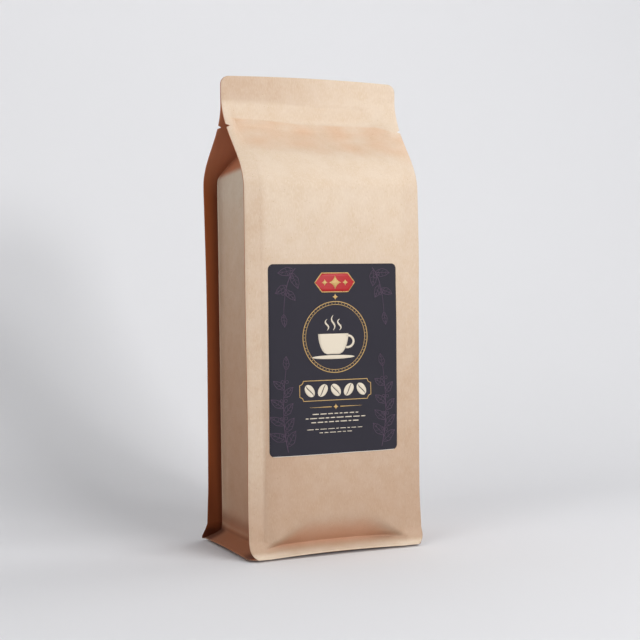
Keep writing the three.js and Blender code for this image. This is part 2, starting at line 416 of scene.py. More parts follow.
def waves(across, up, kind, seed, count=9):
    """Soft random relief: a sum of sine waves, whose directions, lengths and phases are drawn
    once from a seed. kind holds its depth and its shortest and longest wave."""
    depth, shortest, longest = kind
    draw = np.random.default_rng(seed)
    angle = draw.uniform(0, np.pi, count)
    length = np.exp(draw.uniform(np.log(shortest), np.log(longest), count))
    phase = draw.uniform(0, 2 * np.pi, count)
    turns = (across[..., None] * np.cos(angle) + up[..., None] * np.sin(angle)) / length
    return depth * np.sin(2 * np.pi * turns + phase).sum(-1) / math.sqrt(count)


def dents(x, z, rows):
    """The sum of round dents, each a bell curve of its own width, height and depth."""
    total = np.zeros(np.broadcast_shapes(x.shape, z.shape))
    for across, up, wide, tall, deep in rows:
        far = ((x / MM - across) / wide) ** 2 + ((z / MM - up) / tall) ** 2
        total += deep * MM * np.exp(-far)
    return total


# %% [markdown]
# The header is welded flat, and just below it the front panel bends back over a crease. A
# press-to-close strip inside shows through the paper under that crease, as a low band.

# %% The crease, the strip and the fold below them
CREASE_HEIGHT = 288.3 * MM
CREASE_REACH_UP = 13 * MM
CREASE_REACH_DOWN = 23 * MM
CREASE_START = mm(-60, -55)      # the bend sets in quickly at its left end
CREASE_END = mm(33, 63)          # and dies out slowly to the right
CREASE_RISE = 2.7 * MM           # its left end climbs this far
CREASE_RISE_ACROSS = mm(-48, 0)
CREASE_DROP = 4 * MM             # and its right end falls this far
CREASE_DROP_ACROSS = mm(46, 62)

STRIP_RISE = 0.45 * MM
STRIP_DROP = 2.4 * MM            # its middle line runs this far below the crease
STRIP_HALF_LENGTH = 59 * MM
STRIP_RADIUS = 3.2 * MM
STRIP_EDGE = mm(-0.3, 0.7)
RIDGE = 0.9 * MM
RIDGE_REACH = 9 * MM
RIDGE_HEIGHT = 263 * MM
RIDGE_SLOPE = 0.05               # it falls this much for each step to the right


def crease_at(x):
    """Height of the crease, which climbs at its left end and falls at its right end."""
    climb = CREASE_RISE * fade(x, *CREASE_RISE_ACROSS)
    return CREASE_HEIGHT + climb - CREASE_DROP * smoothstep(x, *CREASE_DROP_ACROSS)


def crease_press(x, z, panel):
    """The bend below the header presses the panel in by a wedge, sharpest along the crease."""
    crease = crease_at(x)
    reach = np.where(z > crease, CREASE_REACH_UP, CREASE_REACH_DOWN)
    ends = smoothstep(x, *CREASE_START) * fade(x, *CREASE_END)
    return panel["crease_dip"] * tent(z, crease, reach) * ends


def strip(x, z):
    """The press-to-close strip under the paper: a low stadium-shaped band just below the crease."""
    beyond = np.maximum(np.abs(x) - (STRIP_HALF_LENGTH - STRIP_RADIUS), 0)
    inside = STRIP_RADIUS - np.hypot(beyond, z - crease_at(x) + STRIP_DROP)
    return STRIP_RISE * smoothstep(inside, *STRIP_EDGE)


def front_folds(x, z):
    """Below the strip the paper bends over a soft ridge that falls to the right, between the
    dents of the shoulder. The dents of the foot's corners lie far below."""
    ridge = RIDGE * tent(z, RIDGE_HEIGHT - RIDGE_SLOPE * x, RIDGE_REACH)
    return ridge - dents(x, z, SHOULDER_DENTS) - dents(x, z, CORNER_DENTS)


# %% The relief of a whole panel
FIN_SWEEP = 2.0 * MM             # the fins' edges lean back this far
SEAM_DEPTH = 0.22 * MM           # a groove runs along each fin's root
SEAM_WIDTH = 1.1 * MM
BODY_START = (FOOT_HEIGHT, 40 * MM)
BODY_END = (270 * MM, WELD_HEIGHT)
SHOULDER_CRUMPLES = mm(225, 262)
FOOT_CRUMPLES = mm(12, 60)
WRINKLE_START = mm(235, 268)
WRINKLE_END = mm(300, 308)


def panel_relief(x, z, panel):
    """What the paper adds to a panel's plain form, outwards: broad waves, smaller ones towards the
    shoulder and the foot, a groove along each fin's root, and the fins' lean."""
    full = fullness(x, z, panel)
    root = half_width(z, panel) - fin_width(z)
    seed = panel["seed"]
    body = smoothstep(z, *BODY_START) * fade(z, *BODY_END)
    busy = smoothstep(z, *SHOULDER_CRUMPLES) + fade(z, *FOOT_CRUMPLES)
    broad = waves(x, z, SWELL, seed) * body
    small = waves(x, z, CRUMPLE, seed + 1) * busy * body
    fine = waves(WRINKLE_SLANT * x, z, WRINKLE, seed + 2)
    fine = fine * smoothstep(z, *WRINKLE_START) * fade(z, *WRINKLE_END)
    groove = SEAM_DEPTH * bell(np.abs(x), root, SEAM_WIDTH) * body
    lean = FIN_SWEEP * np.clip((np.abs(x) - root) / fin_width(z), 0, 1) * body
    relief = (broad + small + fine) * full - groove - lean
    if panel is FRONT:
        relief = relief + front_folds(x, z) * full + strip(x, z)
    return relief


# %% A panel's outer face
def tuck_top(x):
    """How high the foot's tuck reaches: highest in a panel's middle, by a smooth step."""
    return mix(TUCK_HEIGHT, TUCK_HEIGHT_CORNER, smoothstep(np.abs(x), *TUCK_FALL))


def panel_offset(x, z, panel):
    """Distance of a panel's outer face from the bag's middle plane. The fins lean in by a cosine
    wave, the face adds its crown, the foot tucks in, and the flange runs out at the very bottom."""
    full = fullness(x, z, panel)
    fins = mix(HEADER_THICKNESS / 2, BODY_DEPTH / 2, ease_down(z, *panel["lean"]))
    packed = mix(LOW_CROWN, FACE_CROWN, smoothstep(z, *FACE_UNPACKING))
    crown = packed * ease_down(z, SHOULDER_HEIGHT, CREASE_HEIGHT)
    up_the_tuck = np.clip((z - FOOT_HEIGHT) / (tuck_top(x) - FOOT_HEIGHT), 0, 1)
    tuck = (FOOT_TUCK + crown) * (1 - up_the_tuck) ** TUCK_POWER
    face = fins + (crown - tuck) * full - crease_press(x, z, panel) + panel_relief(x, z, panel)
    widest = BODY_DEPTH / 2 + FLANGE_REACH
    spread = spread_at(z, mix(FLARE_HEIGHT, FOOT_HEIGHT, full))
    return mix(np.clip(face, HEADER_THICKNESS / 2, widest), widest, spread)


def lift(along, reach, z):
    """The flange stands clear of the floor, and higher midway along each side, by a parabola."""
    clear = FLANGE_EDGE_LIFT + FLANGE_LIFT * np.maximum(0, 1 - (along / reach) ** 2)
    return clear * fade(z, FOOT_HEIGHT, TUCK_HEIGHT)


def bow(x, z):
    """The header's middle stands higher than its ends, by a parabola."""
    return HEADER_BOW * (1 - (2 * x / HEADER_WIDTH) ** 2) * smoothstep(z, CREASE_HEIGHT, BAG_HEIGHT)


# %% [markdown]
# Each side gusset stands upright, a little bulged, up to a straight fold. Above it the paper slopes
# in between the two panels like the gable of a milk carton, until the panels meet in the header.

# %% A gusset
GUSSET_WAVE = mm(0.25, 16, 60)
GUSSET_WAVE_END = mm(235, 250)
GUSSET_SEED = 21
FOLD_RISE = 6 * MM               # the fold climbs this far from the back to the front
FOLD_ROUND = 1.5 * MM


def fold_at(y):
    """Height of the fold across a gusset's top, which climbs in a straight line to the front."""
    return FOLD_HEIGHT + FOLD_RISE * (1 - y / (BODY_DEPTH / 2)) / 2


def gusset_x(z, edge, y):
    """x of a gusset between its fins: out into the flange at the foot, upright to the fold, then
    sloping in until the panels meet. The slope eases in over FOLD_ROUND, by an exponential."""
    fold = fold_at(y)
    above = np.maximum(z - fold, 0)
    eased = above - FOLD_ROUND * (1 - np.exp(-above / FOLD_ROUND))
    folded = FOLD_DEPTH * np.clip(eased / (WELD_HEIGHT - fold), 0, 1)
    upright = BODY_WIDTH / 2 - fin_width(z)
    closed = mix(upright - folded, FLANGE_HALF_WIDTH, spread_at(z, FOOT_HEIGHT))
    at_top = smoothstep(z, BAG_HEIGHT - SEAM_CLOSING, BAG_HEIGHT)
    seam = edge - HEADER_SEAM * mix(1, SEAM_LEFT_OPEN, at_top)
    return np.where(z > WELD_HEIGHT, seam, closed)


def gusset_bulge(z, half, y, hand):
    """How far a gusset stands out between its fins: a cosine across it, and a faint wave that
    dies out at the fins, the fold and the foot."""
    crown = GUSSET_CROWN * smoothstep(half, 0, BODY_DEPTH / 2) * (z < WELD_HEIGHT)
    across = np.cos(np.clip(y / np.maximum(half, MM), -1, 1) * np.pi / 2)
    body = smoothstep(z, *BODY_START) * fade(z, *GUSSET_WAVE_END)
    wave = waves(y, z + 0 * y, GUSSET_WAVE, GUSSET_SEED + hand)
    return (crown + wave * body) * across


# %% One outline round the bag, for every height at once
FIN_STEPS = 5
FACE_STEPS = 84
FLANK_STEPS = 24
GUSSET_STEPS = 13


def panel_outline(z, panel):
    """x and offset of the points across a panel, fin edge to fin edge. The face's points close up
    towards the fins as a sine does. z is a column, one height a row."""
    left = fin_edge(z, panel, -1) - CUT_ROUND
    right = fin_edge(z, panel, 1) - CUT_ROUND
    root = np.minimum(half_width(z, panel) - fin_width(z), np.minimum(left, right) - LEAST_FIN)
    out = np.linspace(0, 1, FIN_STEPS, endpoint=False)
    face = root * np.sin((np.linspace(0, 1, FACE_STEPS + 1) - 0.5) * np.pi)
    x = np.hstack([-mix(left, root, out), face, mix(right, root, out)[:, ::-1]])
    return x, panel_offset(x, z, panel)


def fin_thickness(outer):
    """A fin's own thickness, or less where the bag is too thin to hold it."""
    return np.minimum(FIN_THICKNESS, outer - LEAST_HALF_GAP)


def inner_face(x, z, panel):
    """The inside of a fin: its outer face less the weld's thickness."""
    outer = panel_offset(x, z, panel)
    return outer - fin_thickness(outer)


def flank_outline(z, panel, hand):
    """x and distance from the middle of the points from a fin's cut edge, along its inner face and
    the gusset, to just short of the gusset's middle. hand is 1 on the right and -1 on the left,
    and x is given as if on the right. The flank's points are spaced half evenly, half by a sine."""
    edge = fin_edge(z, panel, hand)
    outer = panel_offset(hand * edge, z, panel)
    thickness = fin_thickness(outer)
    rounding = np.minimum(CUT_ROUND, thickness / 3)
    side = -1 if panel is FRONT else 1
    floor = gusset_x(z, edge, side * (outer - thickness))
    past = np.maximum(0, floor - edge)
    start = edge - CUT_ROUND * np.clip((edge - floor) / LEAST_FIN, 0, 1)
    share = np.linspace(0, 1, FLANK_STEPS, endpoint=False)
    turn = share * np.pi / 2
    flank_x = mix(start, floor, mix(share, np.sin(turn), 0.5))
    flank_y = inner_face(hand * np.minimum(flank_x, edge), z, panel) - past * (1 - np.cos(turn))
    half = inner_face(hand * floor, z, panel) - past
    gusset_y = half * np.linspace(1, 0, GUSSET_STEPS, endpoint=False)
    gusset_at = gusset_x(z, edge, side * gusset_y) + gusset_bulge(z, half, side * gusset_y, hand)
    x = np.hstack([edge, edge, flank_x, gusset_at])
    y = np.hstack([outer - rounding, outer - thickness + rounding, flank_y, gusset_y])
    return x, y


def side_outline(z, hand):
    """x and y of the points from the front fin's cut edge, in and along the gusset, to the back's."""
    near_x, near_y = flank_outline(z, FRONT, hand)
    far_x, far_y = flank_outline(z, BACK, hand)
    middle_y = np.zeros_like(z)
    half = far_y[:, -GUSSET_STEPS:][:, :1]
    middle_x = gusset_x(z, fin_edge(z, BACK, hand), middle_y) + gusset_bulge(z, half, middle_y, hand)
    x = np.hstack([near_x, middle_x, far_x[:, ::-1]])
    y = np.hstack([-near_y, middle_y, far_y[:, ::-1]])
    return x, y


def bag_rings(z):
    """All outlines of the bag as an array: heights, points round the outline, xyz. They run from
    the front fin's left edge across the front, along the right side, across the back and along
    the left. Also the numbers of points across a panel and along a side."""
    z = z[:, None]
    front_x, front_off = panel_outline(z, FRONT)
    back_x, back_off = panel_outline(z, BACK)
    side_x, side_y = side_outline(z, 1)
    left_x, left_y = side_outline(z, -1)
    x = np.hstack([front_x, side_x, back_x[:, ::-1], -left_x[:, ::-1]])
    y = np.hstack([-front_off, side_y, back_off[:, ::-1], left_y[:, ::-1]])
    across = front_x.shape[1]
    side = side_x.shape[1]
    on_panel = np.arange(x.shape[1]) % (across + side) < across
    rise = np.where(on_panel, lift(x, PANEL_LIFT_REACH, z), lift(y, GUSSET_LIFT_REACH, z))
    return np.stack([x, y, z + rise + bow(x, z)], -1), across, side


# %% Stack the outlines
notch_low = (NOTCH_HEIGHT - NOTCH_HALF_HEIGHT) / MM
notch_high = (NOTCH_HEIGHT + NOTCH_HALF_HEIGHT) / MM
# from, to and steps, in millimetres: close together where the paper bends
LEVELS = [(FLANGE_THICKNESS / MM, 12, 26), (12, 40, 26), (40, 236, 76), (236, notch_low, 62),
          (notch_low, notch_high, 4), (notch_high, 300, 26), (300, 312.5, 14)]
corner_turn = np.sin(np.linspace(0, 1, 9) * np.pi / 2)
levels = [np.linspace(low, high, steps, endpoint=False) * MM for low, high, steps in LEVELS]
levels.append(BAG_HEIGHT - HEADER_CORNER + HEADER_CORNER * corner_turn)
rings, across_count, side_count = bag_rings(np.concatenate(levels))

# %% [markdown]
# The bottom panel lies flat on the floor, and only a rim of it as wide as the gap rises to meet
# the flange. So the underside is the lowest outline again, shrunk a few times and laid on the
# floor, and a pole in its middle closes it. The header's top is a slit as thin as the paper,
# closed by rungs between its front and back points, like a ladder.

# %% Close both ends
GAP_RISE = 0.3                   # the rim's share of the flange's lift, halfway out
inset = FLANGE_GAP_DEPTH / np.abs(rings[0, :, 0]).max()
under_shares = np.array([0.2, 0.5, 0.8, 1 - 2 * inset, 1 - inset])
underside = rings[0] * under_shares[:, None, None] * [1, 1, 0]
underside[-1, :, 2] = GAP_RISE * (rings[0, :, 2] - FLANGE_THICKNESS)
under_edge = rings[0] - [0, 0, FLANGE_EDGE]
stack = np.concatenate([underside, under_edge[None], rings])
ring_count, columns = stack.shape[:2]
print("%d outlines of %d points" % (ring_count, columns))

first_ring = np.arange(columns)
pole = ring_count * columns
pole_faces = np.stack([np.full(columns, pole), np.roll(first_ring, -1), first_ring], -1)
around = np.roll(first_ring, -across_count - side_count // 2)  # from the right gusset's middle
half_way = columns // 2
back_chain = around[:half_way + 1]
front_chain = np.concatenate([around[:1], around[:half_way - 1:-1]])
rungs = np.stack([front_chain[:-1], back_chain[:-1], back_chain[1:], front_chain[1:]], -1)
rungs = rungs + (ring_count - 1) * columns
ladder_ends = [rungs[:1, 1:], rungs[-1:, :3]]
bag_faces = [pole_faces, skin_faces(ring_count, columns), rungs[1:-1], *ladder_ends]
bag_points = np.vstack([stack.reshape(-1, 3), [[0, 0, 0]]])

# %% [markdown]
# ## Kraft paper
#
# The outer ply is light brown kraft paper with a matt varnish. Close up it has long pale fibres
# laid mostly one way, a cloudy tone from the pulp, and a few dark specks. The fins' inner faces and
# the folded gable are painted a darker, warmer brown as painted shade in the recesses. Noise could be
# painted into an image, but as nodes on Object coordinates it keeps its true scale on every face.

# %% Kraft paper material
KRAFT_HEX = "#c6b4a1"
# laid over it: pattern value with none and with all of it, the most that shows, its colour
CLOUD = (0.35, 0.75, 0.55, "#b99f83")
FIBRE = (0.45, 0.75, 0.62, "#cfc0ac")
SPECK = (0.10, 0.04, 0.45, "#84694a")
CLOUD_SIZE = 11 * MM
FIBRE_WIDTH = 0.45 * MM          # real fibres are finer; drawn as coarse as they show
FIBRE_LENGTH = 2.4 * MM
SPECK_SPACING = 3.2 * MM
# attribute on the mesh, how it is blended in, and its colour
PAPER_TONES = [
    ("painted_shade_and_weld", "MULTIPLY", "#dfd0c7"),   # painted shade: darker towards the foot; also the weld band's own tone
    ("warm_shade_and_bounce", "MULTIPLY", "#fdece1"),    # painted shade below the crease and on the foot's turn, and painted bounce light from brown paper on the gussets
    ("inside", "MIX", "#9e552b"),       # painted shade in dark brown: the fins' inner faces, the gusset's foot and the underside
    ("fold", "MIX", "#b97857"),         # painted shade on the gable's recess and on the foot's turn
    ("deep", "MULTIPLY", "#a59a9c"),    # painted shade in the fins' roots, at the foot, along low creases and on the flange
]


def kraft_material():
    """Clouds, then fibres, then specks are mixed over the base tone, and then each of PAPER_TONES
    by its share on the mesh. Fibres and clouds also make a fine bump."""
    material, tree = new_material("kraft_paper_matt_varnish")
    place = add(tree, "ShaderNodeTexCoord").outputs["Object"]
    cloud = add(tree, "ShaderNodeTexNoise", {
        "Vector": place, "Scale": 1 / CLOUD_SIZE, "Detail": 4.0, "Roughness": 0.68})
    stretch = add(tree, "ShaderNodeMapping", {
        "Vector": place, "Rotation": (0.03, 0.0, 0.0),
        "Scale": (1 / FIBRE_WIDTH, 1 / FIBRE_WIDTH, 1 / FIBRE_LENGTH)})
    fibre = add(tree, "ShaderNodeTexNoise", {
        "Vector": stretch.outputs[0], "Scale": 1.0, "Detail": 2.0, "Roughness": 0.55})
    dot = add(tree, "ShaderNodeTexVoronoi", {"Vector": place, "Scale": 1 / SPECK_SPACING})
    layers = []
    for pattern, (none, full, most, hex_colour) in (
            (cloud.outputs["Fac"], CLOUD), (fibre.outputs["Fac"], FIBRE), (dot.outputs["Distance"], SPECK)):
        share = add(tree, "ShaderNodeMapRange", {
            "Value": pattern, "From Min": none, "From Max": full, "To Max": most})
        layers.append((share.outputs[0], "MIX", hex_colour))
    for name, blend, hex_colour in PAPER_TONES:
        share = add(tree, "ShaderNodeAttribute", attribute_name=name)
        layers.append((share.outputs["Fac"], blend, hex_colour))
    tone = linear(KRAFT_HEX)
    for share, blend, hex_colour in layers:
        tone = add(tree, "ShaderNodeMix", {"Factor": share, 6: tone, 7: linear(hex_colour)},
                   data_type="RGBA", blend_type=blend).outputs[2]
    height = add(tree, "ShaderNodeMath", {0: fibre.outputs["Fac"], 1: cloud.outputs["Fac"]},
                 operation="ADD")
    bump = add(tree, "ShaderNodeBump", {
        "Height": height.outputs[0], "Strength": 0.35, "Distance": 0.06 * MM})
    shader = add(tree, "ShaderNodeBsdfPrincipled", {
        "Base Color": tone, "Roughness": 0.78, "IOR": 1.47, "Specular IOR Level": 0.35,
        "Normal": bump.outputs[0]})
    add(tree, "ShaderNodeOutputMaterial", {"Surface": shader.outputs[0]})
    return material


bag = new_piece("paper_bag", bag_points, bag_faces, kraft_material())

# %% [markdown]
# The bag's brown carries painted shade: it darkens towards the foot and on the left fin, is warmer and
# darker below the crease, on the foot's turn and down the gussets, and lies in the roots of the fins. The
# weld band also has a darker tone of its own.
# Masks could be painted by hand; here each tone's share is a formula of the place on the bag, kept
# on the mesh as an attribute that the material reads.

# %% Tones of the front and back panels
PAINTED_SHADE_FOOT = 30 * MM               # painted shade in full from here down
PAINTED_SHADE_TOP = 238 * MM               # and none from here up
# painted shade is left off the flange below this stretch
PAINTED_SHADE_RIM = (3 * MM, FOOT_HEIGHT)
CORNER_SHADE = 0.5                 # more painted shade at the left of the foot
CORNER_SHADE_ACROSS = mm(-60, -15)
CORNER_SHADE_UP = mm(40, 130)
FIN_FULLNESS = (0, 0.3)          # a fin starts where the panel is this full
# painted shade on the fins: more on the left one, which faces away from the lamps
LEFT_FIN_SHADE = 0.42
LEFT_FIN_FOOT = mm(15, 75)
RIGHT_FIN_SHADE = 0.2
FIN_TO_FIN = mm(-30, 30)
FIN_SHADE_END = mm(215, 276)
WELD_TONE_AND_SHADE = 0.62                 # the hot jaws darken the header's weld band; its growth to the left is painted shade
WELD_TONE_UP = mm(299, 304)
WELD_SHADE_ACROSS = mm(-60, 45)
CREASE_SHADE = 0.6                        # painted shade on the fold below the crease, which faces up, away from the low lamps
CREASE_SHADE_PATCHES = (0.22, 6 * MM, 14 * MM)  # share, shortest wave, longest wave
CREASE_SHADE_START = mm(0, 1.5)           # this far below the crease
CREASE_SHADE_END = mm(15, 27)
CREASE_SHADE_ACROSS = mm(-66, -54)
CREASE_SHADE_SEED = 31
TURN_SHADE = 0.32                 # and painted shade on the turn above the flange, under the face's overhang
TURN_START = mm(5, 9)
TURN_END = (0.4, 0.85)           # shares of the tuck's height
TURN_SHADE_WARMTH = 2.4
# where the turn's painted shade lies, the downward painted shade is cut by this share
TURN_LESS_SHADE = -0.5


def painted_shade_at(z):
    """How much painted shade darkens the paper at a height: all at the foot and none at the shoulder,
    in a straight line."""
    return np.clip((PAINTED_SHADE_TOP - z) / (PAINTED_SHADE_TOP - PAINTED_SHADE_FOOT), 0, 1)


def panel_tones(x, y, z):
    """Painted shade on the face grows downwards, more at the foot's left corner and less on its turn.
    Each fin has a painted shade share of its own. A band of painted shade starts at the crease and dies out
    below it."""
    below = crease_at(x) - z
    # painted shade in a band below the crease, in patches
    crease_shade = smoothstep(below, *CREASE_SHADE_START) * fade(below, *CREASE_SHADE_END) * smoothstep(x, *CREASE_SHADE_ACROSS)
    crease_shade = crease_shade * (CREASE_SHADE + waves(WRINKLE_SLANT * x, z, CREASE_SHADE_PATCHES, CREASE_SHADE_SEED))
    full = np.where(y < 0, fullness(x, z, FRONT), fullness(x, z, BACK))
    # painted shade on the foot's turn, which faces down under the overhang
    low, high = TURN_END
    turned = fade(z, low * tuck_top(x), high * tuck_top(x))
    turned = TURN_SHADE * full * smoothstep(z, *TURN_START) * turned
    # painted shade on the fins
    left_fin = mix(LEFT_FIN_SHADE, 1, fade(z, *LEFT_FIN_FOOT))
    right_fin = np.maximum(painted_shade_at(z), RIGHT_FIN_SHADE)
    fin = mix(left_fin, right_fin, smoothstep(x, *FIN_TO_FIN)) * fade(z, *FIN_SHADE_END)
    # painted shade, heavier at the foot's left corner
    corner = CORNER_SHADE * fade(x, *CORNER_SHADE_ACROSS) * fade(z, *CORNER_SHADE_UP)
    face = mix(painted_shade_at(z) + corner + TURN_LESS_SHADE * turned, fin, fade(full, *FIN_FULLNESS))
    # the weld band's own tone, with painted shade that grows to its left
    weld = WELD_TONE_AND_SHADE * smoothstep(z, *WELD_TONE_UP) * fade(x, *WELD_SHADE_ACROSS)
    # painted shade throughout, but for the weld band's own tone
    return {"painted_shade_and_weld": face * smoothstep(z, *PAINTED_SHADE_RIM) + weld,
            "warm_shade_and_bounce": np.clip(crease_shade + TURN_SHADE_WARMTH * turned, 0, 1) * (y < 0),
            "inside": 0 * z, "fold": turned, "deep": 0 * z}


# %% Tones of the sides
GABLE_START = mm(-1, 5)          # this far above the fold
GABLE_FIN = 0.9
GABLE_FIN_START = mm(235, 272)
GUSSET_SHADE_END = mm(14, 37)      # painted shade fades out from the middle of the gusset to the back
# painted warm bounce light and shade down the gusset
GUSSET_WARM_SHADE = 1.3
GUSSET_FOOT_SHADE = 0.7                  # painted shade in brown on the gusset near the foot
GUSSET_FOOT_SHADE_END = mm(9, 27)
PALE_LINE = (0.4, 12 * MM, 1.4 * MM)  # but for a pale line: share, height, width
CLEAN_RIM = mm(1.4, 2.4)         # the flange's cut edge is pale
ROOT_REACH = 0.9                 # shade reaches this share of the way out of the root
FOOT_SHADE = 0.6
FOOT_SHADE_END = mm(15, 80)
# painted shade along two creases low on the gusset: share, height, width
CREASE_SHADE_LINES = [(0.45, 9 * MM, 1.4 * MM), (0.35, 17 * MM, 4 * MM)]
SHELF_SHADE = 0.15               # on the flange's shelf, and all of it next to the fins
SHELF_SHADE_END = mm(7, 14)
SHELF_CORNER = (BODY_DEPTH / 2 - 12 * MM, BODY_DEPTH / 2 - 2 * MM)


def side_tones(y, z, column):
    """A gusset has painted shade that grows downwards, less towards the back, and is painted warm where it
    lies. The fins' inner faces, the gable and the foot are painted brown as shade, and painted shade lies
    in the fins' roots, along creases and on the flange. column numbers the points along a side, and tells
    the fins from the gusset."""
    flank = 2 + FLANK_STEPS
    on_flank = (column < flank) | (column >= side_count - flank)
    on_gusset = ~on_flank
    # painted shade in the gable's recess; on the fins' inner faces it rises towards the gable
    gable = np.where(on_flank, GABLE_FIN * smoothstep(z, *GABLE_FIN_START),
                     smoothstep(z - fold_at(y), *GABLE_START))
    pale, line_height, line_width = PALE_LINE
    bare = GUSSET_FOOT_SHADE * fade(z, *GUSSET_FOOT_SHADE_END) * (1 - pale * bell(z, line_height, line_width))
    rim = smoothstep(z, *CLEAN_RIM)
    from_root = np.minimum(np.abs(column - flank + 1), np.abs(side_count - flank - column)) / FLANK_STEPS
    shade = np.maximum(fade(from_root, 0, ROOT_REACH) * (1 - gable),
                       FOOT_SHADE * fade(z, *FOOT_SHADE_END))
    # painted shade along creases low on the gusset
    pressed = sum(share * bell(z, height, width) for share, height, width in CREASE_SHADE_LINES)
    shelf = mix(SHELF_SHADE, 1, smoothstep(np.abs(y), *SHELF_CORNER)) * fade(z, *SHELF_SHADE_END) * rim
    # all painted shade, with painted bounce light in the gusset's warmth
    return {"painted_shade_and_weld": painted_shade_at(z) * fade(y, *GUSSET_SHADE_END),
            "warm_shade_and_bounce": on_gusset * np.minimum(GUSSET_WARM_SHADE * painted_shade_at(z) ** 0.5, 1),
            "inside": rim * np.where(on_flank, 1, bare), "fold": gable,
            "deep": np.maximum(np.where(on_flank, shade, pressed), shelf)}


# %% Write the tones onto the bag
x, y, z = np.moveaxis(stack, -1, 0)
column = np.arange(columns) % (across_count + side_count) - across_count
on_panels = panel_tones(x, y, z)
on_sides = side_tones(y, z, column)
for name, _, _ in PAPER_TONES:
    share = np.where(column >= 0, on_sides[name], on_panels[name])
    if name in ("inside", "deep"):
        share[:len(underside)] = 1               # painted shade: the underside and the gap under the flange are dark
    attribute = bag.data.attributes.new(name, "FLOAT", "POINT")
    attribute.data.foreach_set("value", np.append(share.ravel(), 0.0).astype(np.float32))
    print("%s: %.2f of the bag on average" % (name, share.mean()))
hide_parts("bag")
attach(bag, "root")

# %% [markdown]
# ## The label
#
# The label is coated paper, stuck on and pressed flat, so it follows the panel's crown and broad
# waves. Its print could be painted on with an image, but ink that is looked at closely stays sharp
# only as geometry or a formula. So each printed shape is a thin closed slab of ink: a grid of
# places on the flat label, with a top just above the paper and an underside sunk in it.

# %% Places on the label
LABEL_WIDTH = label_high.x - label_low.x
LABEL_HEIGHT = label_high.z - label_low.z
LABEL_X = (label_high.x + label_low.x) / 2
LABEL_Z = (label_high.z + label_low.z) / 2
LABEL_CORNER = 3.4 * MM
LABEL_GAP = 0.06 * MM
LABEL_THICKNESS = 0.22 * MM


def on_label(places):
    """Points in space from (n, 3) places: across and up from the label's middle, and height above
    its face, all in millimetres."""
    across, up, height = np.moveaxis(np.asarray(places) * MM, -1, 0)
    x = LABEL_X + across
    z = LABEL_Z + up
    off = panel_offset(x, z, FRONT) + LABEL_GAP + LABEL_THICKNESS + height
    return np.stack([x, -off, z], -1)


# %% A thin slab from a grid of places
INK_RISE = 0.05                  # millimetres; thicker than real ink, so it always shows
INK_SINK = -0.03
ON_INK = 0.09                    # the height of ink that is printed over other ink


def slab(grid, closed=False, rise=INK_RISE, sink=INK_SINK):
    """A closed slab: grid is (rows, columns, 2), and its rows may run round and meet. Returns its
    places and quads, with the quads of the cut edge last."""
    grid = np.asarray(grid, float)
    along = np.diff(grid, axis=0)[:, :-1]
    beside = np.diff(grid, axis=1)[:-1]
    if (beside[..., 0] * along[..., 1] - beside[..., 1] * along[..., 0]).sum() < 0:
        grid = grid[:, ::-1]
    rows, columns = grid.shape[:2]
    heights = np.full((rows, columns, 1), 1.0)
    top = np.concatenate([grid, heights * rise], -1)
    low = np.concatenate([grid, heights * sink], -1)[:, ::-1]
    places = np.concatenate([top, low], 1).reshape(-1, 3)
    quads = skin_faces(rows, 2 * columns, closed)
    wall = np.isin(np.arange(len(quads)) % (2 * columns), (columns - 1, 2 * columns - 1))
    ends = []
    if not closed:
        step = np.arange(columns - 1)
        start = np.stack([step, 2 * columns - 1 - step, 2 * columns - 2 - step, step + 1], -1)
        ends = [start, start[:, ::-1] + (rows - 1) * 2 * columns]
    return places, np.concatenate([quads[~wall], quads[wall], *ends])


def joined(slabs):
    """The places and quads of several slabs as one, each slab's quads numbered on from the last."""
    counts = [len(places) for places, _ in slabs]
    starts = np.cumsum([0] + counts[:-1])
    quads = [quads + start for (_, quads), start in zip(slabs, starts)]
    return np.concatenate([places for places, _ in slabs]), np.concatenate(quads)


# %% The sheet of the label
LABEL_ROWS = 110
LABEL_COLUMNS = 80
corner_steps = LABEL_CORNER * (1 - np.cos(np.linspace(0, 1, 9) * np.pi / 2))
straight_steps = np.linspace(LABEL_CORNER, LABEL_HEIGHT - LABEL_CORNER, LABEL_ROWS)[1:-1]
sheet_rows = np.concatenate([corner_steps, straight_steps, LABEL_HEIGHT - corner_steps[::-1]])[:, None]
into_corner = LABEL_CORNER - np.minimum(sheet_rows, LABEL_HEIGHT - sheet_rows)
sheet_half = LABEL_WIDTH / 2 - corner_inset(into_corner, LABEL_CORNER)
sheet_across = sheet_half * np.linspace(-1, 1, LABEL_COLUMNS)
sheet_grid = np.stack(np.broadcast_arrays(sheet_across, sheet_rows - LABEL_HEIGHT / 2), -1) / MM
sheet_places, sheet_quads = slab(sheet_grid, False, 0.0, -LABEL_THICKNESS / MM)

# %% [markdown]
# The label's coated paper is printed dark grey all over with matt ink, and has a fine tooth. Its
# cut edge shows the white of the paper. Ink and coating shine like most plastics, so IOR is 1.5.

# %% Materials of one colour
PRINT_IOR = 1.5
TOOTH_SIZE = 0.5 * MM
TOOTH_DEPTH = 0.02 * MM


